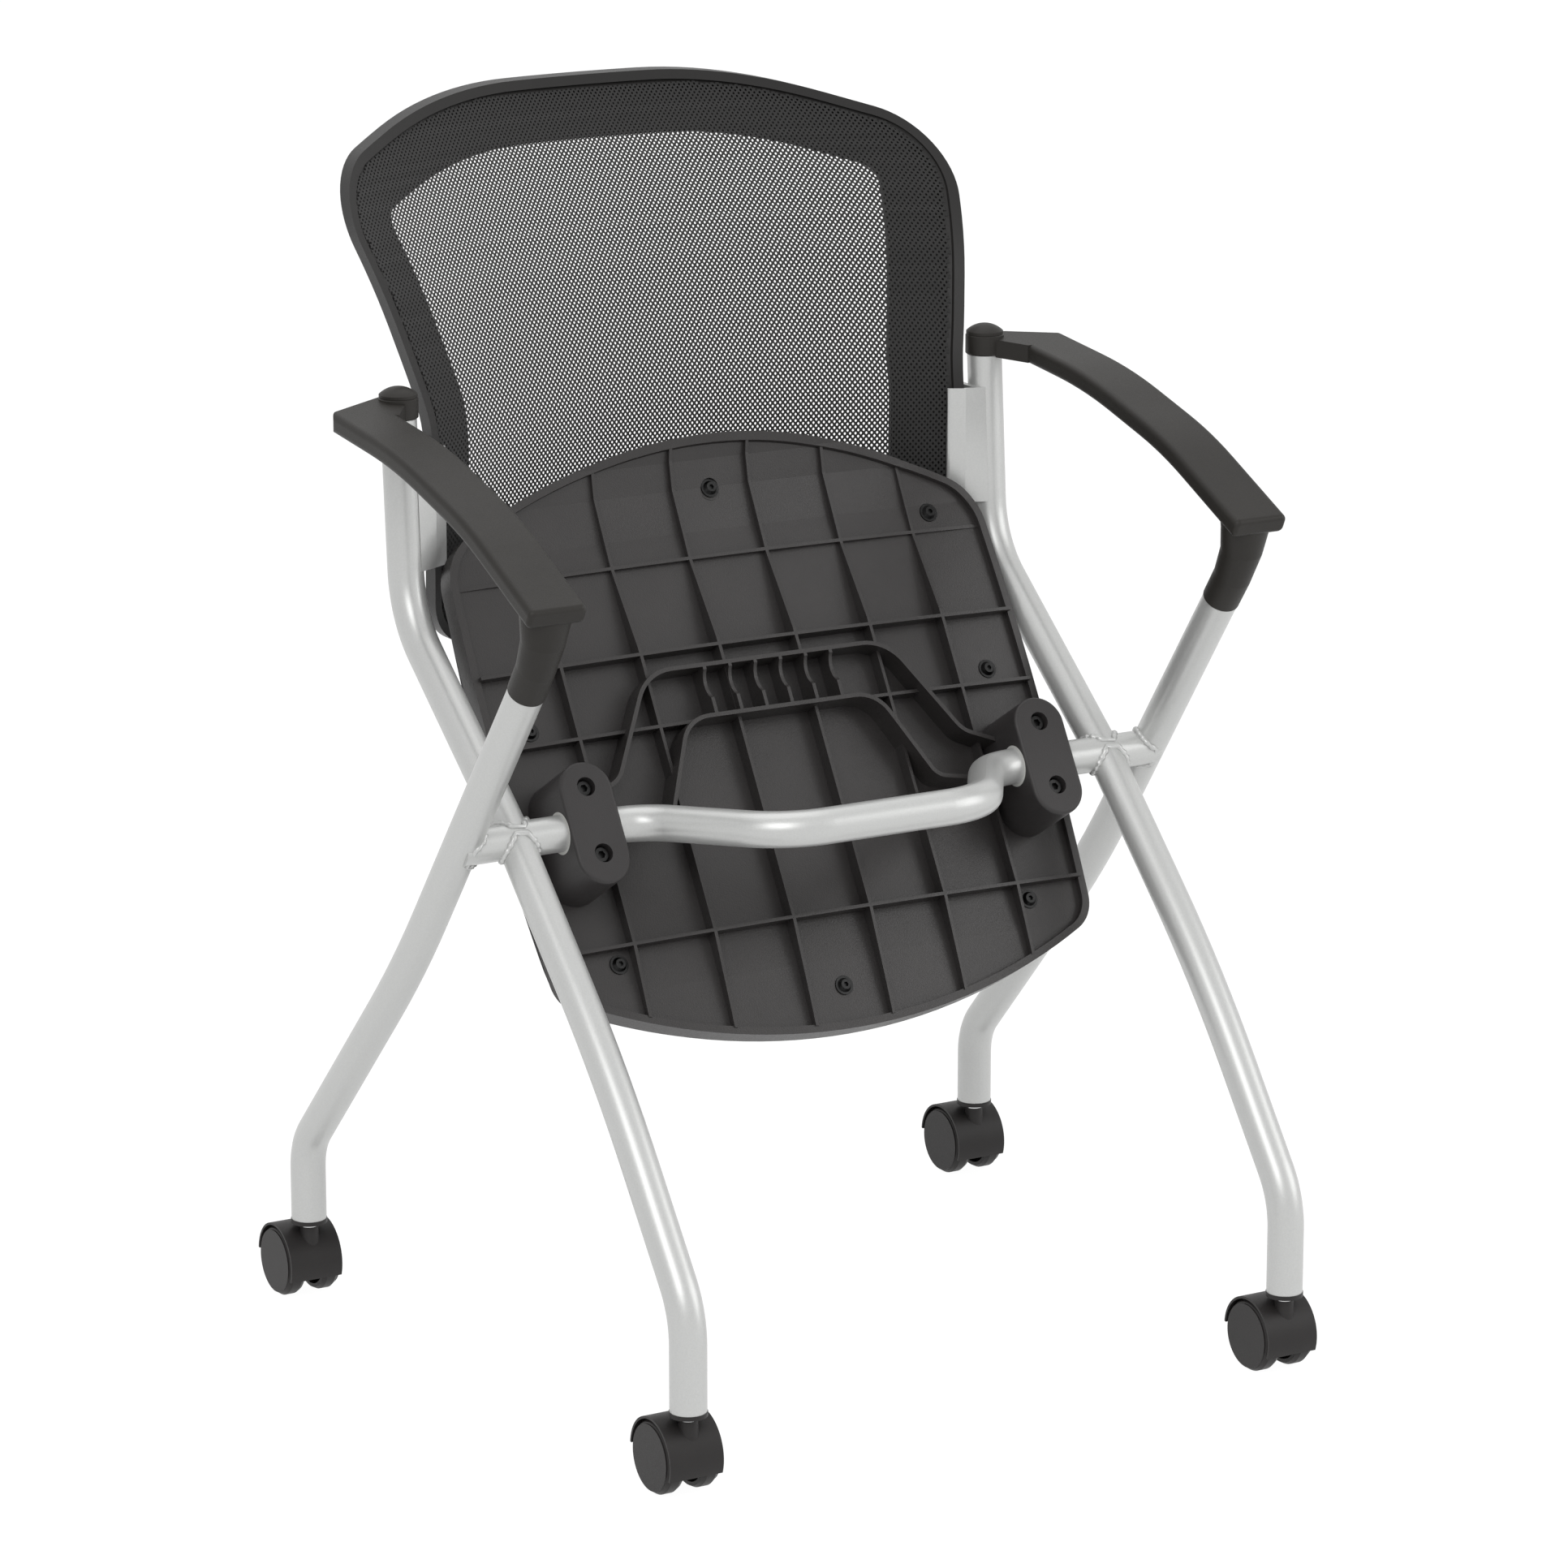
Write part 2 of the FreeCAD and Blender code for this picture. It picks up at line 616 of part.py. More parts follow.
def build_seat():
    """Every piece that swings with the seat, in the seat's own frame."""
    flat = {}
    pan = seat_pan()
    board_top = moved(skin_line, -skin_t)
    board_bottom = moved(skin_line, -wall_t)
    board = dished_slab(board_top, board_bottom, skin_dish).common(seat_prism(rim_w + fit_gap))
    under = dished_slab(board_bottom, flat_line(-140), skin_dish)
    over = dished_slab(flat_line(40), crown_line, -cushion_crown)
    cushion = seat_prism(cushion_inset).common(under).common(over)

    # Pivot blocks, split on the cross tube's axis
    bore = tube_r + running_gap + bush_wall
    tube_hole = Part.makeCylinder(bore, 4 * block_w, V(block_x - 2 * block_w, 0, 0), X_AXIS)
    above_skin = dished_slab(flat_line(30), skin_line, skin_dish)
    base = block_plan(0, -60, 0).common(above_skin).cut(tube_hole)
    cap = block_plan(0, 0, block_cap_t).cut(tube_hole)
    bush = Part.makeCylinder(bore, block_w, V(block_x - block_w / 2, 0, 0), X_AXIS)
    beside = V(block_x - 2 * block_w, 0, 0)
    bush = bush.cut(Part.makeCylinder(tube_r + running_gap, 4 * block_w, beside, X_AXIS))
    screw_seat = block_cap_t - head_sink - m6_head_t
    screws = []
    for y in block_screw_places():
        recess = Part.makeCylinder(screw_recess_r, 30, V(block_x, y, screw_seat))
        shank = Part.makeCylinder(m6_r, screw_seat + block_screw_len, V(block_x, y, -block_screw_len))
        cap = cap.cut(recess).cut(shank)
        base = base.cut(shank)
        board = board.cut(shank).cut(mirrored(shank))
        head = Part.makeCylinder(m6_head_r, m6_head_t, V(block_x, y, screw_seat))
        socket = hex_socket(V(block_x, y, screw_seat + m6_head_t), m6_socket_r, m6_socket_depth)
        screws.append(shank.fuse(head).removeSplitter().cut(socket))
    recess_round = 2 * math.pi * screw_recess_r + 1
    top_edges = [edge for edge in cap.Edges if edge.BoundBox.ZMin > block_cap_t - 1e-3]
    rim_edges = [edge for edge in top_edges if edge.Length > recess_round]
    cap = cap.makeFillet(block_edge, rim_edges)
    flat["right_pivot_base"] = base
    flat["left_pivot_base"] = mirrored(base)
    flat["right_pivot_cap"] = cap
    flat["left_pivot_cap"] = mirrored(cap)
    flat["right_pivot_bush"] = bush
    flat["left_pivot_bush"] = mirrored(bush)
    flat["pivot_screws"] = Part.makeCompound(screws + [mirrored(screw) for screw in screws])

    pan_screws = []
    washers = []
    for place in pan_screw_places():
        floor = washer_level(place)
        ring = Part.makeCylinder(washer_r, washer_t, V(place.x, place.y, floor))
        hole = Part.makeCylinder(m5_r, 20, V(place.x, place.y, floor - 10))
        washers.append(ring.cut(hole))
        top = floor + washer_t
        foot = V(place.x, place.y, floor - pan_screw_len)
        shank = Part.makeCylinder(m5_r, washer_t + pan_screw_len, foot)
        head = Part.makeCone(m5_head_r, m5_head_r - m5_head_taper, m5_head_t, V(place.x, place.y, top))
        socket = hex_socket(V(place.x, place.y, top + m5_head_t), m5_socket_r, m5_socket_depth)
        board = board.cut(shank)
        pan_screws.append(shank.fuse(head).cut(socket))
    flat["pan_screws"] = Part.makeCompound(pan_screws)
    flat["pan_washers"] = Part.makeCompound(washers)
    flat["seat_pan"] = pan
    flat["seat_board"] = board
    flat["seat_cushion"] = cushion
    for name, shape in flat.items():
        shape.rotate(V(0, 0, 0), X_AXIS, seat_lean_deg)
        keep(name, shape.translated(pivot))


def hex_socket(top, radius, depth):
    """A hexagonal socket to cut, standing down from a screw head's top."""
    angles = [math.radians(60 * index) for index in range(7)]
    corners = [V(radius * math.cos(angle), radius * math.sin(angle), 0) for angle in angles]
    return Part.Face(Part.makePolygon(corners)).extrude(V(0, 0, depth)).translated(top - Z_AXIS * depth)


# Back

back_profile = (V(0, 209.5, 470.0), V(0, 209.5, 648.0), V(0, 249.0, 736.0), V(0, 316.0, 818.0),
                V(0, 346.0, 860.0))
back_profile_radii = (80.0, 300.0, 400.0)
back_reach = 262.0


def back_outline(inset):
    """The back's outline seen from the front, stepped inwards, as a closed wire."""
    corners = [
        V(back_half_width, 0, back_bottom), V(back_half_width, 0, 652.0), V(251.5, 0, 812.0),
        V(118.0, 0, back_top), V(-118.0, 0, back_top), V(-251.5, 0, 812.0),
        V(-back_half_width, 0, 652.0), V(-back_half_width, 0, back_bottom),
    ]
    radii = [34.0, 150.0, 50.0, 400.0, 400.0, 50.0, 150.0, 34.0]
    count = len(corners)
    stepped = []
    for i in range(count):
        before = (corners[i] - corners[i - 1]).normalize()
        after = (corners[(i + 1) % count] - corners[i]).normalize()
        inward_before = V(-before.z, 0, before.x)
        inward_after = V(-after.z, 0, after.x)
        bisector = inward_before + inward_after
        stepped.append(corners[i] + bisector * (inset / (1 + inward_before * inward_after)))
    smallest = 12.0
    radii = [max(radius - inset, smallest) for radius in radii]
    middle_bottom = (stepped[0] + stepped[-1]) * 0.5
    path = bent_path([middle_bottom] + stepped + [middle_bottom], radii)
    return path


def back_prism(inset):
    face = Part.Face(back_outline(inset))
    return face.extrude(V(0, 400, 0))


def back_slab(front, rear):
    """A slab that follows the back's curved surface between two setbacks."""
    profile = bent_path(list(back_profile), list(back_profile_radii))
    stations = profile.discretize(Number=14)
    drop = back_bow * (back_reach / bow_half_width) ** 2
    sections = []
    for point in stations:
        rows = []
        for setback in (front, rear):
            middle = point + V(0, setback, 0)
            side = V(back_reach, middle.y - drop, middle.z)
            rows.append((V(-side.x, side.y, side.z), middle, side))
        (a, b, c), (d, e, f) = rows
        sections.append(Part.Wire([arc_through(a, b, c), line(c, f), arc_through(f, e, d), line(d, a)]))
    return Part.makeLoft(sections, True, False)


def back_surface_y(x):
    """The depth of the back's front surface on its upright lower part, at a distance from the middle."""
    drop = back_bow * (back_reach / bow_half_width) ** 2
    radius = (back_reach ** 2 + drop ** 2) / (2 * drop)
    return back_profile[0].y - (radius - math.sqrt(radius ** 2 - x ** 2))


def flange_section(z):
    """The bracket's front flange in plan: it lies on the back's rim, folds and runs on to the tube."""
    inner_y = back_surface_y(bracket_inner_x) - fit_gap - bracket_t
    fold = V(back_half_width, back_surface_y(back_half_width) - fit_gap - bracket_t, z)
    share = (z - upright_bend.z) / (upright_top.z - upright_bend.z)
    tube_y = upright_bend.y + (upright_top.y - upright_bend.y) * share
    reach = inner_tube_x - flange_end_x
    end = V(flange_end_x, tube_y - math.sqrt(tube_r ** 2 - reach ** 2) - flange_weld, z)
    back = Y_AXIS * bracket_t
    lead = V(bracket_inner_x, inner_y, z)
    soft = V(1.0, 0, 0)
    round_trip = [lead + soft, fold, end, end + back, fold + back, lead + back, lead + Y_AXIS, lead + soft]
    return Part.makePolygon(round_trip)


def mesh_openings():
    """A plain grid of openings through the mesh, inside the band."""
    pitch_x = 2 * opening_reach_x / opening_columns
    pitch_z = (opening_high - opening_low) / opening_rows
    window = back_prism(band_w + opening_margin)
    boxes = []
    for column in range(opening_columns):
        for row in range(opening_rows):
            x = -opening_reach_x + column * pitch_x + opening_bar / 2
            z = opening_low + row * pitch_z + opening_bar / 2
            boxes.append(box(V(x, 0, z), V(x + pitch_x - opening_bar, 400, z + pitch_z - opening_bar)))
    return Part.makeCompound(boxes).common(window)


def build_back():
    outer = back_prism(0)
    rim_ring = outer.cut(back_prism(back_rim_w))
    band_ring = outer.cut(back_prism(band_w))
    rim = back_slab(0, back_rim_depth).common(rim_ring)
    band = back_slab(back_rim_depth - band_t, back_rim_depth).common(band_ring)
    flange_y = back_surface_y(back_half_width) - fit_gap
    lug_inner_x = back_half_width - lug_w
    rear_y = back_surface_y(lug_inner_x) + back_rim_depth + lug_stand
    low = V(lug_inner_x, flange_y, bracket_bottom + lug_inset)
    high = V(back_half_width - 0.5, rear_y, bracket_top - lug_inset)
    lug = box(low, high).cut(back_slab(-60, back_rim_depth - 1))
    frame = rim.fuse([band, lug, mirrored(lug)])
    edging = back_slab(mesh_setback + mesh_t, back_rim_depth - band_t)
    edging = edging.common(back_prism(back_rim_w).cut(back_prism(back_rim_w + edging_w)))
    mesh = back_slab(mesh_setback, mesh_setback + mesh_t).common(back_prism(back_rim_w))
    mesh = mesh.cut(mesh_openings())

    # Brackets
    upright = nodes["right_back_upright"]
    web_x = inner_tube_x - tube_r
    front = Part.makeLoft([flange_section(z) for z in (bracket_bottom, bracket_top)], True, True)
    rim_side = box(V(0, 0, bracket_bottom - 1), V(back_half_width + fit_gap, rear_y, bracket_top + 1))
    front = front.cut(back_slab(-fit_gap, back_rim_depth).common(rim_side))
    web_low = V(web_x - bracket_t, flange_y - bracket_t / 2, bracket_bottom)
    web = box(web_low, V(web_x + 2, rear_y + bracket_t, bracket_top))
    rear = box(V(lug_inner_x, rear_y, bracket_bottom), V(web_x, rear_y + bracket_t, bracket_top))
    bracket = front.fuse([web, rear]).removeSplitter()
    bracket = bracket.cut(upright)
    screws = []
    for place in (-0.5, 0.5):
        z = (bracket_bottom + bracket_top) / 2 + place * bracket_screw_pitch
        spot = V(back_half_width - lug_w / 2, rear_y + bracket_t, z)
        shank = rod(spot, spot - Y_AXIS * bracket_screw_len, m5_r)
        head = rod(spot, spot + Y_AXIS * 3, m5_head_r)
        bracket = bracket.cut(shank)
        frame = frame.cut(shank).cut(mirrored(shank))
        screws.append(shank.fuse(head).removeSplitter())
    keep("back_frame", frame)
    keep("back_mesh", mesh)
    keep("back_edging", edging)
    keep_pair("back_bracket", bracket)
    keep("bracket_screws", Part.makeCompound(screws + [mirrored(screw) for screw in screws]))


# Armrests

# The pad's top line from its rear end to its nose, on the middle of its width
pad_profile = (V(0, 190.0, 673.0), V(0, 58.0, 659.5), V(0, -45.0, 631.5), V(0, -139.0, 588.0))
pad_profile_radii = (450.0, 350.0)


def ring_wire(centre, heading, half_width, half_depth):
    """A closed oval across a heading, wider than deep."""
    across = (X_AXIS - heading * (X_AXIS * heading)).normalize()
    along = heading.cross(across)
    ends = (centre + across * half_width, centre + along * half_depth)
    return Part.Wire([Part.Ellipse(ends[0], ends[1], centre).toShape()])


def arm_post(heading):
    """The armrest's front post, which swells from the tube's size into the pad's nose."""
    rings = [ring_wire(arm_leg_top, heading, post_half_width, post_half_depth)]
    for y, z, lean, half_width, half_depth in post_stations:
        lean = math.radians(lean)
        turned = V(0, -math.sin(lean), math.cos(lean))
        rings.append(ring_wire(V(arm_leg_top.x, y, z), turned, half_width, half_depth))
    return Part.makeLoft(rings, True, True)


def pad_slab(low_x, high_x, thickness):
    """A plain slab under the pad's top line, between two distances from the middle."""
    top = bent_path(list(pad_profile), list(pad_profile_radii))
    bottom = bent_path([p - Z_AXIS * thickness for p in pad_profile], list(pad_profile_radii))
    front = line(pad_profile[-1], pad_profile[-1] - Z_AXIS * thickness)
    rear = line(pad_profile[0], pad_profile[0] - Z_AXIS * thickness)
    face = Part.Face(Part.Wire(Part.sortEdges(top.Edges + bottom.Edges + [front, rear])[0]))
    return face.translated(X_AXIS * low_x).extrude(X_AXIS * (high_x - low_x))


def arm_pad(eye):
    """The pad: a rounded bar bent along its profile, cut off aslant at the rear, with a neck."""
    middle_x = (pad_inner_x + pad_outer_x) / 2
    points = [p + V(middle_x, 0, -pad_t / 2) for p in pad_profile]
    heading = (points[1] - points[0]).normalize()
    up = X_AXIS.cross(heading)
    half_w = (pad_outer_x - pad_inner_x) / 2
    foot = points[0] - up * (pad_t / 2)
    head = points[0] + up * (pad_t / 2)
    corners = [foot + X_AXIS * half_w, head + X_AXIS * half_w, head - X_AXIS * half_w, foot - X_AXIS * half_w]
    section = bent_path([foot] + corners + [foot], [pad_edge] * 4)
    face = Part.Face(section)
    pieces = []
    for edge in bent_path(points, list(pad_profile_radii)).OrderedEdges:
        begin, end = edge.valueAt(edge.FirstParameter), edge.valueAt(edge.LastParameter)
        if edge.Curve.TypeId == "Part::GeomCircle":
            turn = math.degrees(edge.LastParameter - edge.FirstParameter)
            pieces.append(face.revolve(edge.Curve.Center, X_AXIS, turn))
            face.rotate(edge.Curve.Center, X_AXIS, turn)
        else:
            move = end - begin if end.y < begin.y else begin - end
            pieces.append(face.extrude(move))
            face.translate(move)
    nose_face = face.CenterOfMass
    ahead = points[-1] - points[-2]
    rim = [edge for edge in pieces[-1].Edges if abs((edge.CenterOfMass - nose_face) * ahead) < 1e-3]
    pieces[-1] = pieces[-1].makeFillet(nose_edge, rim)
    bar = pieces[0].fuse(pieces[1:])

    corner = V(pad_outer_x, pad_corner_y, 0)
    tangent = V(eye.x, eye.y + eyelet_r, 0)
    slant = tangent + (tangent - corner) * 0.5
    front = V(pad_outer_x, -eye.y, 0)
    plan = [corner, slant, V(slant.x, front.y, 0), front, corner]
    room = Part.Face(Part.makePolygon(plan)).extrude(Z_AXIS * (eye.z + 100))
    upright = [e for e in edges_along(room, Z_AXIS) if e.distToShape(Part.Vertex(corner))[0] < 1e-3]
    bar = bar.common(room.makeFillet(pad_corner, upright))

    lap = pad_inner_x + half_w
    low_y, high_y, root_y = eye.y - neck_half, eye.y + neck_half, eye.y - neck_root
    neck_plan = [V(eye.x, low_y, 0), V(eye.x, high_y, 0), V(lap, high_y, 0), V(lap, root_y, 0),
                 V(pad_inner_x, root_y, 0), V(eye.x, low_y, 0)]
    neck = Part.Face(Part.makePolygon(neck_plan)).extrude(Z_AXIS * (eye.z + 100)).common(room)
    neck = pad_slab(eye.x, lap, eyelet_t - 2).common(neck)
    return bar.fuse(neck)


def build_armrests():
    heading = (arm_leg_top - arm_leg_knee).normalize()
    spigot = rod(arm_leg_top - heading * spigot_len, arm_leg_top + heading, spigot_r)
    eye = upright_top
    eyelet = Part.makeCylinder(eyelet_r, eyelet_t, eye)
    rim = [edge for edge in eyelet.Edges if edge.BoundBox.ZLength < 1e-3]
    eyelet = eyelet.makeChamfer(eyelet_edge, rim)
    stem_hole = rod(eye - Z_AXIS, eye + Z_AXIS * 40, cap_stem_r)
    tube_room = rod(eye - Z_AXIS * 20, eye, tube_r + 1)
    upright = nodes["right_back_upright"]
    pad = arm_pad(eye).cut(tube_room).cut(upright)
    armrest = pad.fuse([arm_post(heading), spigot, eyelet.cut(upright)])
    armrest = armrest.cut(stem_hole).removeSplitter()
    keep_pair("armrest", armrest)
    seat = eye + Z_AXIS * eyelet_t
    edge_h = 2.0
    dome_h = cap_dome - edge_h
    sphere_r = (cap_r ** 2 + dome_h ** 2) / (2 * dome_h)
    brim = Part.makeCylinder(cap_r, edge_h, seat)
    dome = Part.makeSphere(sphere_r, seat + Z_AXIS * (cap_dome - sphere_r))
    dome = dome.common(Part.makeCylinder(cap_r, dome_h + 1, seat + Z_AXIS * edge_h))
    stem = rod(eye - Z_AXIS * (spigot_len - 1), seat + Z_AXIS, cap_stem_r)
    keep_pair("arm_cap", brim.fuse([dome, stem]).removeSplitter())


if __name__ == "__main__":
    os.makedirs("parts", exist_ok=True)
    build_frame()
    build_casters()
    build_seat()
    build_back()
    build_armrests()
    to_origin = V(0, -origin_depth, 0)
    for name, shape in nodes.items():
        shape.translated(to_origin).exportStep("parts/" + name + ".step")
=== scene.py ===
import json
import math
import bpy
import numpy as np
from mathutils import Matrix, Vector
from mathutils.bvhtree import BVHTree
from mathutils.geometry import convex_hull_2d


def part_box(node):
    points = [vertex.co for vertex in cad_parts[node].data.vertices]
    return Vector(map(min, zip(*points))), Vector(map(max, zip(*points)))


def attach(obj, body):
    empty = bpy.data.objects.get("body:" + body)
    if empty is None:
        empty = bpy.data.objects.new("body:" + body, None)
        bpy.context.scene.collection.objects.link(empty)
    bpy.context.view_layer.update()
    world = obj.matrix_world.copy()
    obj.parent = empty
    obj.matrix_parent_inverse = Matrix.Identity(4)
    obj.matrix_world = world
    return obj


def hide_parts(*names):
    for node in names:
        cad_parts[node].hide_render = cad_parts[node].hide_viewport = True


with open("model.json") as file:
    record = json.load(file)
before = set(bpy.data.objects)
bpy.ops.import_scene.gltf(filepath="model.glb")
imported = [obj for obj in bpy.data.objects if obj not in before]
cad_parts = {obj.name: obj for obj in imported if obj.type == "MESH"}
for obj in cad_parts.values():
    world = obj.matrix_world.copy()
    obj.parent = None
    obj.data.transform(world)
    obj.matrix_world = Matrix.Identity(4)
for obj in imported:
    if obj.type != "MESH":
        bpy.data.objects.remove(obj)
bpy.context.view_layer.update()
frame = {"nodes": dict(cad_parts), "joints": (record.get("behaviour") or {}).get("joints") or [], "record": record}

nodes = frame["nodes"]
print("frame loaded:", len(nodes), "nodes")


# Shader maths: an expression on wires adds its own Math nodes

class Wire:
    def __init__(self, tree, socket):
        self.tree = tree
        self.socket = socket

    def maths(self, operation, left, right=0.0):
        node = self.tree.nodes.new("ShaderNodeMath")
        node.operation = operation
        feed(self.tree, node.inputs[0], left)
        feed(self.tree, node.inputs[1], right)
        return Wire(self.tree, node.outputs[0])

    def __add__(self, other):
        return self.maths("ADD", self, other)

    def __radd__(self, other):
        return self.maths("ADD", other, self)

    def __sub__(self, other):
        return self.maths("SUBTRACT", self, other)

    def __rsub__(self, other):
        return self.maths("SUBTRACT", other, self)

    def __mul__(self, other):
        return self.maths("MULTIPLY", self, other)

    def __rmul__(self, other):
        return self.maths("MULTIPLY", other, self)


def feed(tree, slot, value):
    if isinstance(value, Wire):
        tree.links.new(value.socket, slot)
    else:
        slot.default_value = value


class Finish:
    # A material under construction: its tree, its surface shader and its coordinates in metres
    def __init__(self, name, **sockets):
        self.material = bpy.data.materials.new(name)
        self.material.use_nodes = True
        self.tree = self.material.node_tree
        self.shader = self.tree.nodes["Principled BSDF"]
        self.set(**sockets)

    def set(self, **sockets):
        for name, value in sockets.items():
            feed(self.tree, self.shader.inputs[name.replace("_", " ")], value)

    def node(self, kind, settings=None, output=0, **inputs):
        node = self.tree.nodes.new("ShaderNode" + kind)
        for name, value in (settings or {}).items():
            setattr(node, name, value)
        for name, value in inputs.items():
            slot = int(name[1:]) if name[0] == "i" and name[1:].isdigit() else name.replace("_", " ")
            feed(self.tree, node.inputs[slot], value)
        return Wire(self.tree, node.outputs[output])

    def place(self):
        return self.node("TexCoord", output="Object")

    def speckle(self, scale, detail=3.0, roughness=0.5):
        return self.node("TexNoise", {"noise_dimensions": "3D"}, "Fac", Vector=self.place(),
                         Scale=scale, Detail=detail, Roughness=roughness)

    def bands(self, direction, **sockets):
        return self.node("TexWave", {"wave_type": "BANDS", "bands_direction": direction}, "Fac",
                         Vector=self.place(), **sockets)

    def blendColours(self, share, first, second):
        return self.node("Mix", {"data_type": "RGBA"}, 2, i0=share, i6=first, i7=second)

    def bump(self, height, strength, distance):
        self.set(Normal=self.node("Bump", Height=height, Strength=strength, Distance=distance))


# Finishes: each a function for its kind, and a dictionary of values for each piece's own

noiseMiddle = 0.5


def powderCoat(name, look):
    finish = Finish(name, Metallic=look["metal"])
    mottle = finish.speckle(look["mottleScale"])
    flake = finish.speckle(look["flakeScale"], look["flakeDetail"])
    finish.set(Base_Color=finish.blendColours(mottle, look["dark"], look["light"]))
    finish.set(Roughness=look["roughness"] + (mottle - noiseMiddle) * look["sway"])
    finish.bump(flake, look["bump"], look["flakeDepth"])
    return finish.material


def mouldedPlastic(name, look):
    finish = Finish(name, Specular_IOR_Level=look["shine"])
    grain = finish.speckle(look["grainScale"], look["grainDetail"], look["grainRoughness"])
    cloud = finish.speckle(look["cloudScale"])
    finish.set(Base_Color=finish.blendColours(cloud, look["dark"], look["light"]))
    finish.set(Roughness=look["roughness"] + (grain - noiseMiddle) * look["sway"])
    finish.bump(grain, look["bump"], look["grainDepth"])
    return finish.material


def brightMetal(name, look):
    finish = Finish(name, Metallic=1.0)
    haze = finish.speckle(look["hazeScale"])
    finish.set(Base_Color=finish.blendColours(haze, look["dark"], look["light"]))
    finish.set(Roughness=look["roughness"] + haze * look["sway"])
    return finish.material


def knitCloth(name, look):
    finish = Finish(name, Sheen_Weight=look["sheen"], Sheen_Roughness=look["sheenSpread"])
    cloud = finish.speckle(look["cloudScale"], look["cloudDetail"])
    across = finish.bands("X", Scale=look["threadScale"])
    along = finish.bands("DIAGONAL", Scale=look["threadScale"])
    weave = across * 0.5 + along * 0.5
    shade = weave * look["weaveShare"] + cloud * (1 - look["weaveShare"])
    finish.set(Base_Color=finish.blendColours(shade, look["dark"], look["light"]))
    finish.set(Roughness=look["roughness"] + weave * look["sway"])
    finish.bump(weave, look["bump"], look["threadDepth"])
    return finish.material


def plyWood(name, look):
    finish = Finish(name)
    grain = finish.bands("Z", Scale=look["grainScale"], Distortion=look["grainWander"])
    finish.set(Base_Color=finish.blendColours(grain, look["dark"], look["light"]))
    finish.set(Roughness=look["roughness"] + grain * look["sway"])
    finish.bump(grain, look["bump"], look["grainDepth"])
    return finish.material


frameSteelLook = {"dark": (0.55, 0.555, 0.545, 1), "light": (0.65, 0.655, 0.645, 1), "metal": 0.4,
                  "roughness": 0.34, "sway": 0.12, "mottleScale": 900.0,
                  "flakeScale": 3500.0, "flakeDetail": 1.0, "flakeDepth": 0.0002, "bump": 0.12}
frameSteel = powderCoat("frameSteel", frameSteelLook)

armPlasticLook = {"dark": (0.017, 0.0155, 0.0135, 1), "light": (0.026, 0.0235, 0.0205, 1),
                  "roughness": 0.5, "sway": 0.3, "cloudScale": 30.0, "shine": 0.3, "bump": 0.25,
                  "grainScale": 1400.0, "grainDetail": 2.0, "grainRoughness": 0.6, "grainDepth": 0.0003}
armPlastic = mouldedPlastic("armPlastic", armPlasticLook)

panPlasticLook = {**armPlasticLook, "dark": (0.021, 0.0188, 0.0183, 1), "light": (0.033, 0.0298, 0.029, 1),
                  "roughness": 0.4, "shine": 0.5, "bump": 0.4, "grainScale": 900.0}
panPlastic = mouldedPlastic("panPlastic", panPlasticLook)

backPlasticLook = {**armPlasticLook, "dark": (0.012, 0.011, 0.011, 1), "light": (0.018, 0.017, 0.016, 1),
                   "roughness": 0.42, "bump": 0.12}
backPlastic = mouldedPlastic("backPlastic", backPlasticLook)

pivotPlasticLook = {**armPlasticLook, "dark": (0.027, 0.0247, 0.0247, 1), "light": (0.036, 0.033, 0.033, 1),
                    "shine": 0.4}
pivotPlastic = mouldedPlastic("pivotPlastic", pivotPlasticLook)

casterPlasticLook = {**armPlasticLook, "dark": (0.017, 0.0155, 0.0152, 1), "light": (0.028, 0.0255, 0.025, 1),
                     "roughness": 0.48}
casterPlastic = mouldedPlastic("casterPlastic", casterPlasticLook)

bushPlasticLook = {**armPlasticLook, "dark": (0.5, 0.5, 0.48, 1), "light": (0.6, 0.6, 0.58, 1)}
bushPlastic = mouldedPlastic("bushPlastic", bushPlasticLook)

screwSteelLook = {"dark": (0.02, 0.02, 0.02, 1), "light": (0.05, 0.05, 0.05, 1),
                  "roughness": 0.32, "sway": 0.1, "hazeScale": 400.0}
screwSteel = brightMetal("screwSteel", screwSteelLook)

stemSteelLook = {"dark": (0.6, 0.6, 0.6, 1), "light": (0.75, 0.75, 0.76, 1),
                 "roughness": 0.14, "sway": 0.1, "hazeScale": 300.0}
stemSteel = brightMetal("stemSteel", stemSteelLook)

seatClothLook = {"dark": (0.008, 0.008, 0.008, 1), "light": (0.03, 0.03, 0.03, 1), "sheen": 0.25,
                 "sheenSpread": 0.5, "roughness": 0.8, "sway": 0.15, "cloudScale": 60.0, "cloudDetail": 4.0,
                 "threadScale": 380.0, "threadDepth": 0.0004, "weaveShare": 0.7, "bump": 0.6}
seatCloth = knitCloth("seatCloth", seatClothLook)

meshClothLook = {**seatClothLook, "dark": (0.012, 0.012, 0.012, 1), "light": (0.035, 0.034, 0.033, 1),
                 "sheen": 0.1, "cloudScale": 90.0, "threadScale": 900.0, "bump": 0.3}
meshCloth = knitCloth("meshCloth", meshClothLook)

boardWoodLook = {"dark": (0.42, 0.29, 0.17, 1), "light": (0.55, 0.41, 0.26, 1), "roughness": 0.6, "sway": 0.1,
                 "grainScale": 60.0, "grainWander": 4.0, "grainDepth": 0.0002, "bump": 0.1}
boardWood = plyWood("boardWood", boardWoodLook)

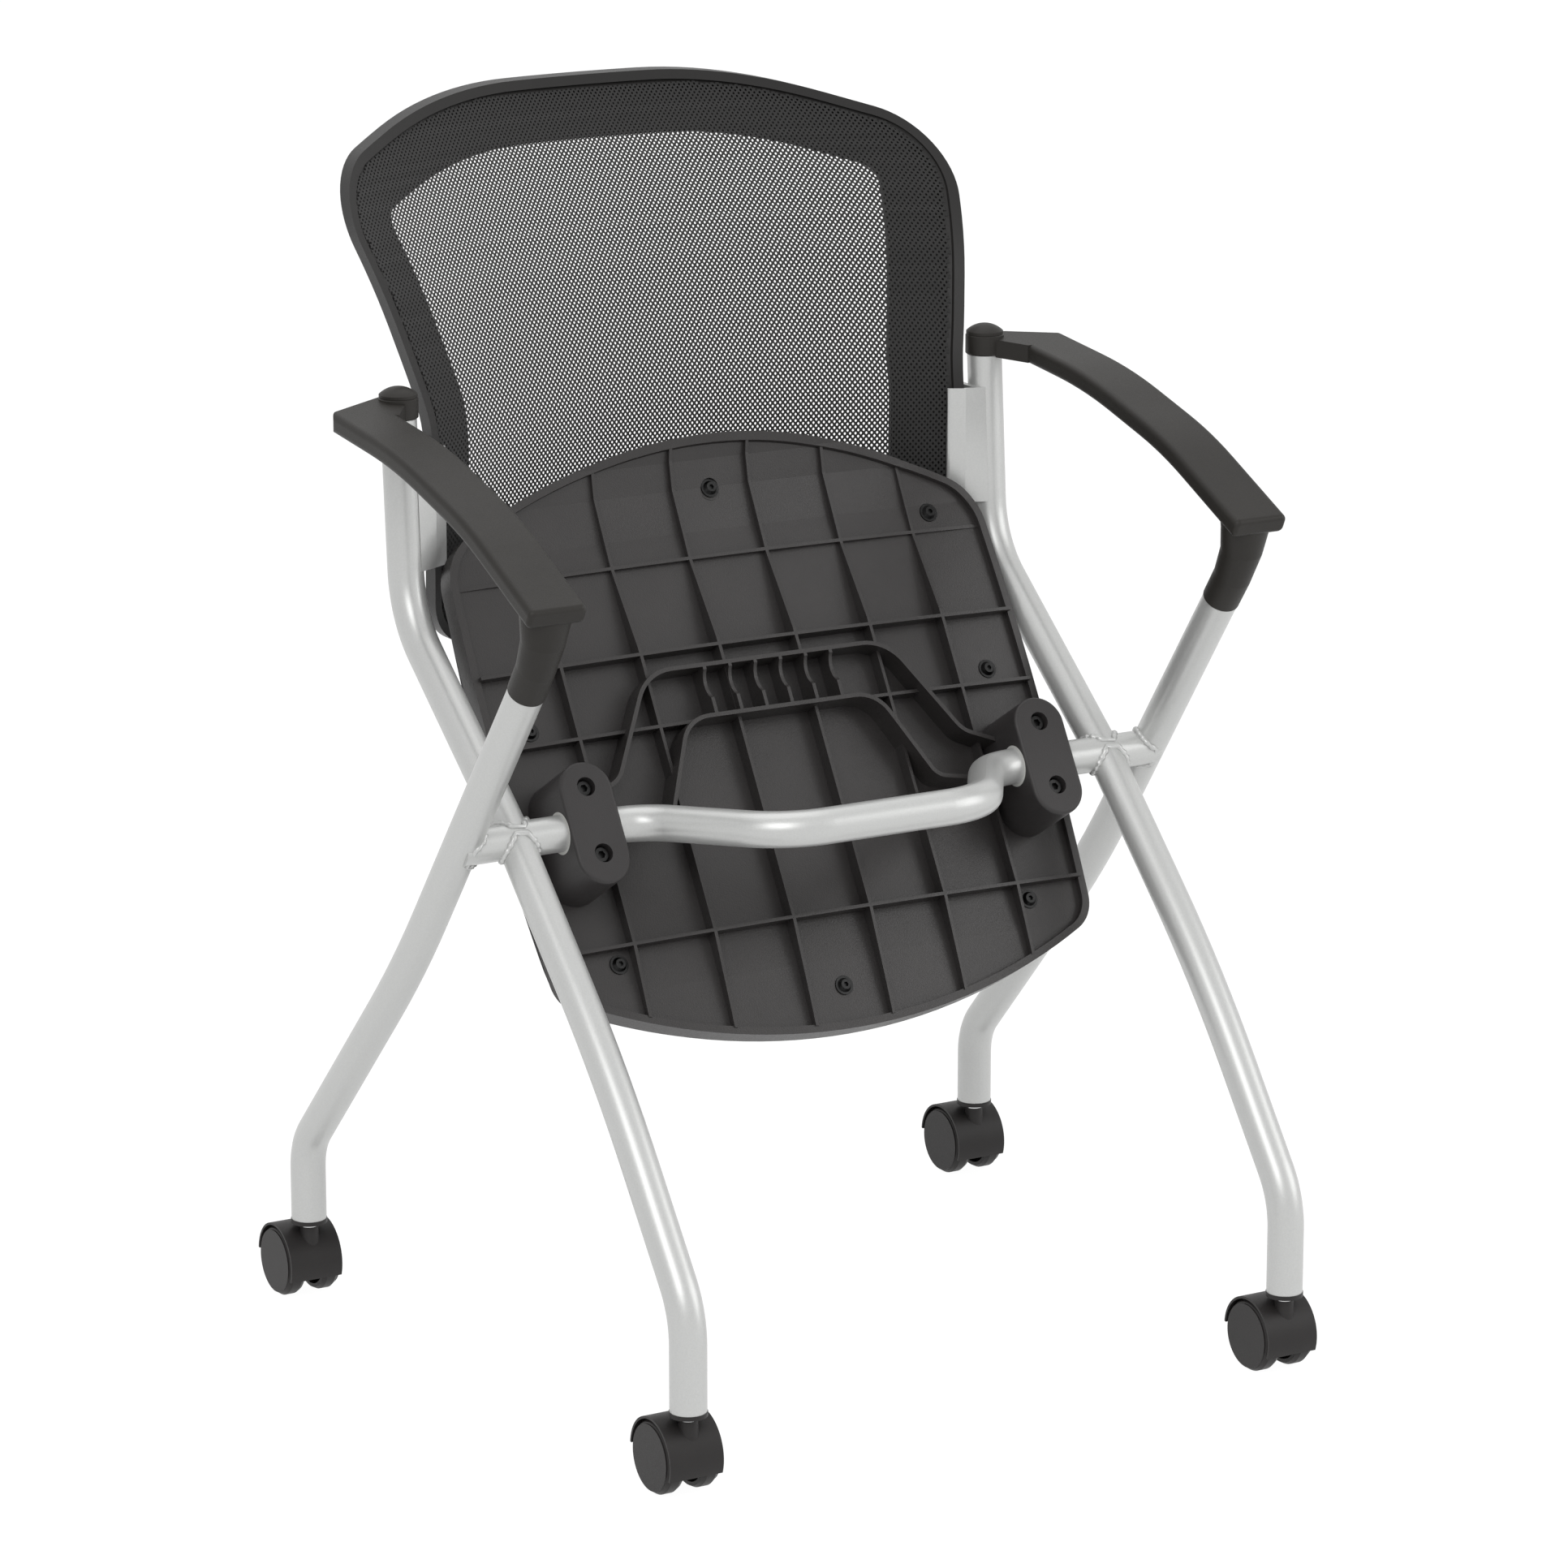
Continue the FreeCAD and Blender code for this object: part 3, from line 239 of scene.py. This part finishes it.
slotFinishes = {
    "frame_steel": frameSteel, "insert_plastic": casterPlastic, "stem_steel": stemSteel,
    "wheel_plastic": casterPlastic, "hood_plastic": casterPlastic, "mesh_cloth": meshCloth,
    "edging_plastic": backPlastic, "back_plastic": backPlastic, "pan_plastic": panPlastic,
    "board_wood": boardWood, "cushion_cloth": seatCloth, "pivot_plastic": pivotPlastic,
    "bush_plastic": bushPlastic, "screw_steel": screwSteel, "washer_steel": screwSteel,
    "arm_plastic": armPlastic,
}
for part in frame["record"]["subparts"]:
    mesh = nodes[part["node"]].data
    mesh.materials.clear()
    mesh.materials.append(slotFinishes[part["material_slot"]])
print("finishes on the frame's nodes:", len(slotFinishes))


def addMesh(name, points, faces, finish, body, smooth=True):
    mesh = bpy.data.meshes.new(name)
    mesh.from_pydata(points, [], faces)
    mesh.update()
    mesh.polygons.foreach_set("use_smooth", [smooth] * len(mesh.polygons))
    mesh.materials.append(finish)
    piece = bpy.data.objects.new(name, mesh)
    bpy.context.scene.collection.objects.link(piece)
    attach(piece, body)
    return piece


def surfaceOf(node):
    return BVHTree.FromPolygons([v.co for v in nodes[node].data.vertices],
                                [p.vertices for p in nodes[node].data.polygons])


# The woven back: holes on a staggered grid, wrapped on the mesh node's front face

backMesh = {"pitchAcross": 0.0038, "pitchAlong": 0.00235, "holeHalfWidth": 0.00076, "holeHalfHeight": 0.00107,
            "halfSpan": 0.25, "samples": 400, "edgeInset": 0.001, "frontward": -0.5, "profileStep": 0.004,
            "bowHalfWidth": 0.262, "bowDrop": 0.08084,
            "gridReach": 0.178, "gridLow": 0.537, "gridHigh": 0.808}


def meshDepths(look):
    # Gives a function: how far back the cloth lies at a place across and up, or None beside the sheet
    skin = surfaceOf("back_mesh")
    sheet = nodes["back_mesh"].data
    bowRadius = (look["bowHalfWidth"] ** 2 + look["bowDrop"] ** 2) / (2 * look["bowDrop"])

    def bow(x):
        return bowRadius - np.sqrt(bowRadius ** 2 - x ** 2)

    facing = {i for face in sheet.polygons if face.normal.y < look["frontward"] for i in face.vertices}
    front = np.array([sheet.vertices[i].co[:] for i in facing])
    slots = np.round(front[:, 2] / look["profileStep"]).astype(int)
    levels = np.unique(slots)
    middles = [np.mean(front[slots == level, 1] + bow(front[slots == level, 0])) for level in levels]

    def depthAt(x, z):
        # The grid of openings lets rays through, so inside its rectangle no ray is needed
        inGrid = abs(x) < look["gridReach"] and look["gridLow"] < z < look["gridHigh"]
        if inGrid or skin.ray_cast(Vector((x, -1, z)), Vector((0, 1, 0)))[0] is not None:
            return float(np.interp(z, levels * look["profileStep"], middles) - bow(x))
        return None

    return depthAt


def holeAngles(look):
    # Six corners, each turned towards the junction between a hole and two of its neighbours
    lean = math.atan2(look["pitchAlong"] / 3, look["pitchAcross"] / 2)
    return [lean, math.pi / 2, math.pi - lean, math.pi + lean, 3 * math.pi / 2, 2 * math.pi - lean]


def buildHoles(look):
    # Corners of every hole that lies whole on the sheet, and each hole's first place in that list
    depthAt = meshDepths(look)
    lowCorner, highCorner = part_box("back_mesh")
    heights = np.linspace(lowCorner.z + look["edgeInset"], highCorner.z - look["edgeInset"], look["samples"])
    depths = np.array([depthAt(0.0, z) for z in heights])
    lengths = np.concatenate([[0], np.cumsum(np.hypot(np.diff(heights), np.diff(depths)))])

    def cornerAt(x, reach):
        if not 0 <= reach <= lengths[-1]:
            return None
        z = float(np.interp(reach, lengths, heights))
        y = depthAt(x, z)
        return None if y is None else (x, y, z)

    points = []
    index = {}
    turns = [(look["holeHalfWidth"] * math.cos(angle), look["holeHalfHeight"] * math.sin(angle))
             for angle in holeAngles(look)]
    for row in range(int(lengths[-1] / look["pitchAlong"]) + 1):
        for column in range(int(2 * look["halfSpan"] / look["pitchAcross"]) + 1):
            x = -look["halfSpan"] + (column + 0.5 * (row % 2)) * look["pitchAcross"]
            reach = row * look["pitchAlong"]
            corners = [cornerAt(x + across, reach + along) for across, along in turns]
            if all(corners):
                index[row, column] = len(points)
                points.extend(corners)
    return points, index


def buildBackMesh(look):
    # Threads fill the cloth between the holes: strips between two holes, triangles between three
    points, index = buildHoles(look)
    faces = []

    def link(*cells):
        if all(hole in index for hole, corner in cells):
            faces.append([index[hole] + corner for hole, corner in cells])

    for row, column in index:
        here = (row, column)
        right = (row, column + 1)
        upRight = (row + 1, column + row % 2)
        upLeft = (row + 1, column + row % 2 - 1)
        link((here, 5), (right, 3), (right, 2), (here, 0))
        link((here, 0), (upRight, 4), (upRight, 3), (here, 1))
        link((here, 1), (upLeft, 5), (upLeft, 4), (here, 2))
        link((here, 0), (right, 2), (upRight, 4))
        link((here, 1), (upRight, 3), (upLeft, 5))
    piece = addMesh("wovenBack", points, faces, meshCloth, "root")
    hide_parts("back_mesh")
    return piece


wovenBack = buildBackMesh(backMesh)
print("woven back:", len(wovenBack.data.polygons), "faces")


# The cushion: a crowned pad on the board, with sides drawn in at the bottom

cushion = {"ringPoints": 144, "middle": (0.0, 0.057), "smoothings": 2, "lift": 0.0004, "skinInset": 0.001,
           "underShares": (0.35, 0.7, 0.92), "underReach": 0.16, "sideSteps": 9, "sideDrawIn": 0.004,
           "drawInSteps": 3, "uprightTurn": 0.25, "edgeRound": 0.020, "topRings": 14,
           "probeHeight": 0.3, "nudge": 0.995, "nudges": 20}
seatLean = math.radians(58.64)
pivotPoint = Vector(next(joint for joint in frame["joints"] if joint["name"] == "seat_flip")["pos_m"])
seatToRow = Matrix.Translation(pivotPoint) @ Matrix.Rotation(seatLean, 4, "X")
rowToSeat = seatToRow.inverted()


def cushionOutline(look, solidPoints):
    # The outline seen from above the seat, in even steps, with its corners smoothed
    flat = [point.xy for point in solidPoints]
    hull = [flat[i] for i in convex_hull_2d(flat)]
    hull.append(hull[0])
    steps = np.array([0.0] + [(after - before).length for before, after in zip(hull, hull[1:])]).cumsum()
    marks = np.linspace(0, steps[-1], look["ringPoints"], endpoint=False)
    ringX = np.interp(marks, steps, [point.x for point in hull])
    ringY = np.interp(marks, steps, [point.y for point in hull])
    for _ in range(look["smoothings"]):
        ringX = (np.roll(ringX, 1) + 2 * ringX + np.roll(ringX, -1)) / 4
        ringY = (np.roll(ringY, 1) + 2 * ringY + np.roll(ringY, -1)) / 4
    return [Vector(pair) for pair in zip(ringX, ringY)]


def cushionRings(look):
    # Rings from the underside round the edge to the crown, then the two centres
    solid = nodes["seat_cushion"].data
    solidPoints = [rowToSeat @ vertex.co for vertex in solid.vertices]
    skin = BVHTree.FromPolygons(solidPoints, [face.vertices for face in solid.polygons])
    outline = cushionOutline(look, solidPoints)
    middle = Vector(look["middle"])
    points = []

    def levels(spot):
        for _ in range(look["nudges"]):
            over = skin.ray_cast(Vector((spot.x, spot.y, look["probeHeight"])), Vector((0, 0, -1)))[0]
            under = skin.ray_cast(Vector((spot.x, spot.y, -look["probeHeight"])), Vector((0, 0, 1)))[0]
            if over is not None and under is not None:
                break
            spot = middle + (spot - middle) * look["nudge"]
        return under.z - look["lift"], over.z

    def addRing(inset, rise, share=1.0):
        for corner in outline:
            outward = corner - middle
            spot = middle + outward * (1 - inset / outward.length) * share
            under, over = levels(spot)
            points.append(Vector((spot.x, spot.y, under + (over - under) * rise)))

    for share in look["underShares"]:
        addRing((1 - share) * look["underReach"] + look["sideDrawIn"], 0)
    for step in range(look["sideSteps"] + 1):
        turn = math.pi / 2 * step / look["sideSteps"]
        drawn = look["sideDrawIn"] * (1 - min(1, step / look["drawInSteps"])) ** 2
        bend = max(0, turn - look["uprightTurn"]) * (math.pi / 2) / (math.pi / 2 - look["uprightTurn"])
        addRing(look["skinInset"] + drawn + look["edgeRound"] * (1 - math.cos(bend)), math.sin(turn))
    for step in range(1, look["topRings"]):
        addRing(look["skinInset"] + look["edgeRound"], 1, 1 - step / look["topRings"])
    points.extend(Vector((*middle, level)) for level in levels(middle))
    return points


def buildCushion(look):
    points = cushionRings(look)
    count = look["ringPoints"]
    underCentre, overCentre = len(points) - 2, len(points) - 1
    lastRing = underCentre - count
    faces = []
    for here in range(count):
        after = (here + 1) % count
        for ring in range(0, lastRing, count):
            faces.append((ring + here, ring + after, ring + count + after, ring + count + here))
        faces.append((after, here, underCentre))
        faces.append((lastRing + here, lastRing + after, overCentre))
    places = [seatToRow @ point for point in points]
    return addMesh("seatCushion", places, faces, seatCloth, "seat")


seatCushion = buildCushion(cushion)
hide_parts("seat_cushion")
print("cushion:", len(seatCushion.data.polygons), "faces")


# Weld beads where the frame's tubes meet the cross tube

welds = {"tubeRadius": 0.0127, "standOff": 0.0006, "beadRadius": 0.0021, "ripple": 0.0005, "ripples": 17,
         "ringPoints": 72, "sides": 8, "innerTubeX": 0.238, "outerTubeX": 0.26, "start": 0.035,
         "legDrop": (-0.137, -0.1313), "uprightRise": (0.1568, 0.1247)}


def weldRing(look, centre, heading, skin):
    # The line where a round tube that comes along a heading meets another tube's skin
    across = heading.orthogonal().normalized()
    other = heading.cross(across)
    reach = look["tubeRadius"] + look["standOff"]
    line = []
    for step in range(look["ringPoints"]):
        angle = math.tau * step / look["ringPoints"]
        outward = across * math.cos(angle) + other * math.sin(angle)
        origin = centre - heading * look["start"] + outward * reach
        spot = skin.ray_cast(origin, heading, 2 * look["start"])[0]
        if spot is not None:
            line.append(spot)
    return line


def buildWeld(look, name, centre, heading, target):
    line = weldRing(look, centre, heading, surfaceOf(target))
    count = len(line)
    middle = sum(line, Vector()) / count
    points, faces = [], []
    for step, spot in enumerate(line):
        along = (line[(step + 1) % count] - line[step - 1]).normalized()
        outward = (spot - middle).normalized()
        sideways = along.cross(outward).normalized()
        outward = sideways.cross(along)
        swell = look["beadRadius"] + look["ripple"] * math.sin(math.tau * look["ripples"] * step / count)
        for side in range(look["sides"]):
            turn = math.tau * side / look["sides"]
            points.append(spot + (outward * math.cos(turn) + sideways * math.sin(turn)) * swell)
    for step in range(count):
        for side in range(look["sides"]):
            after, beside = (step + 1) % count, (side + 1) % look["sides"]
            corners = ((step, side), (step, beside), (after, beside), (after, side))
            faces.append([row * look["sides"] + column for row, column in corners])
    addMesh(name, points, faces, frameSteel, "root")


for side, sign in (("left", -1), ("right", 1)):
    inner = Vector((sign * welds["innerTubeX"], pivotPoint.y, pivotPoint.z))
    outer = Vector((sign * welds["outerTubeX"], pivotPoint.y, pivotPoint.z))
    legHeading = -Vector((0, *welds["legDrop"])).normalized()
    uprightHeading = -Vector((0, *welds["uprightRise"])).normalized()
    buildWeld(welds, side + "LegWeld", inner, legHeading, "cross_tube")
    buildWeld(welds, side + "UprightWeld", inner, uprightHeading, "cross_tube")
    buildWeld(welds, side + "OuterWeld", outer, Vector((sign, 0, 0)), side + "_arm_leg_tube")
print("weld beads ready")


# Studio: pale floor, soft lamps, camera

studio = {"floorSize": 60.0, "floorShade": 0.82, "floorRoughness": 0.9, "glow": 1.14, "glowShare": 0.85,
          "worldLevel": 0.5, "seenLevel": 1.04, "glossyLift": 0.42}
white = (1, 1, 1, 1)


def buildFloor(look):
    half = look["floorSize"] / 2
    corners = [(-half, -half, 0), (half, -half, 0), (half, half, 0), (-half, half, 0)]
    mesh = bpy.data.meshes.new("floor")
    mesh.from_pydata(corners, [], [(0, 1, 2, 3)])
    floor = bpy.data.objects.new("floor", mesh)
    bpy.context.scene.collection.objects.link(floor)
    shade = look["floorShade"]
    finish = Finish("floorPaint", Base_Color=(shade, shade, shade, 1), Roughness=look["floorRoughness"])
    tree = finish.tree
    seen = finish.node("LightPath", output="Is Camera Ray")
    glossy = finish.node("LightPath", output="Is Glossy Ray")
    clear = finish.node("LightPath", output="Is Transmission Ray")
    glow = finish.node("Emission", Color=white, Strength=look["glow"])
    mix = tree.nodes.new("ShaderNodeMixShader")
    feed(tree, mix.inputs[0], (seen + glossy + clear) * look["glowShare"])
    tree.links.new(finish.shader.outputs[0], mix.inputs[1])
    feed(tree, mix.inputs[2], glow)
    tree.links.new(mix.outputs[0], tree.nodes["Material Output"].inputs["Surface"])
    mesh.materials.append(finish.material)


def buildWorld(look):
    world = bpy.data.worlds.new("studioWorld")
    world.use_nodes = True
    bpy.context.scene.world = world
    tree = world.node_tree
    path = tree.nodes.new("ShaderNodeLightPath")
    seen = Wire(tree, path.outputs["Is Camera Ray"])
    glossy = Wire(tree, path.outputs["Is Glossy Ray"])
    clear = Wire(tree, path.outputs["Is Transmission Ray"])
    background = tree.nodes["Background"]
    background.inputs["Color"].default_value = white
    share = (seen + clear) * (look["seenLevel"] - look["worldLevel"]) + glossy * look["glossyLift"]
    feed(tree, background.inputs["Strength"], share + look["worldLevel"])


lamps = {
    "keyLamp": {"place": (-2.2, -2.6, 2.9), "size": 2.2, "power": 52.0},
    "fillLamp": {"place": (3.0, -2.2, 1.8), "size": 2.4, "power": 34.0},
    "topLamp": {"place": (0.2, 1.0, 3.4), "size": 2.6, "power": 20.0},
}
lampAim = Vector((0, 0, 0.45))


def buildLamps(settings):
    for name, lamp in settings.items():
        light = bpy.data.lights.new(name, "AREA")
        light.size = lamp["size"]
        light.energy = lamp["power"]
        holder = bpy.data.objects.new(name, light)
        holder.location = lamp["place"]
        holder.rotation_euler = (lampAim - Vector(lamp["place"])).to_track_quat("-Z", "Y").to_euler()
        bpy.context.scene.collection.objects.link(holder)


view = {"target": (-0.1268, -0.2271665, 0.4586), "distance": 4.1450, "yaw": 0.522964, "pitch": 0.257808,
        "focalPixels": 7711.53, "framePixels": 1932.0, "sensorWidth": 36.0, "clipEnd": 200.0}


def buildCamera(look):
    lens = bpy.data.cameras.new("photoCamera")
    lens.sensor_width = look["sensorWidth"]
    lens.lens = look["focalPixels"] / look["framePixels"] * look["sensorWidth"]
    lens.clip_end = look["clipEnd"]
    camera = bpy.data.objects.new("photoCamera", lens)
    heading = Vector((math.sin(look["yaw"]) * math.cos(look["pitch"]),
                      math.cos(look["yaw"]) * math.cos(look["pitch"]), -math.sin(look["pitch"])))
    camera.location = Vector(look["target"]) - heading * look["distance"]
    camera.rotation_euler = (math.pi / 2 - look["pitch"], 0, -look["yaw"])
    bpy.context.scene.collection.objects.link(camera)
    bpy.context.scene.camera = camera


buildFloor(studio)
buildWorld(studio)
buildLamps(lamps)
buildCamera(view)
bpy.context.scene.view_settings.view_transform = "Standard"
print("studio ready")
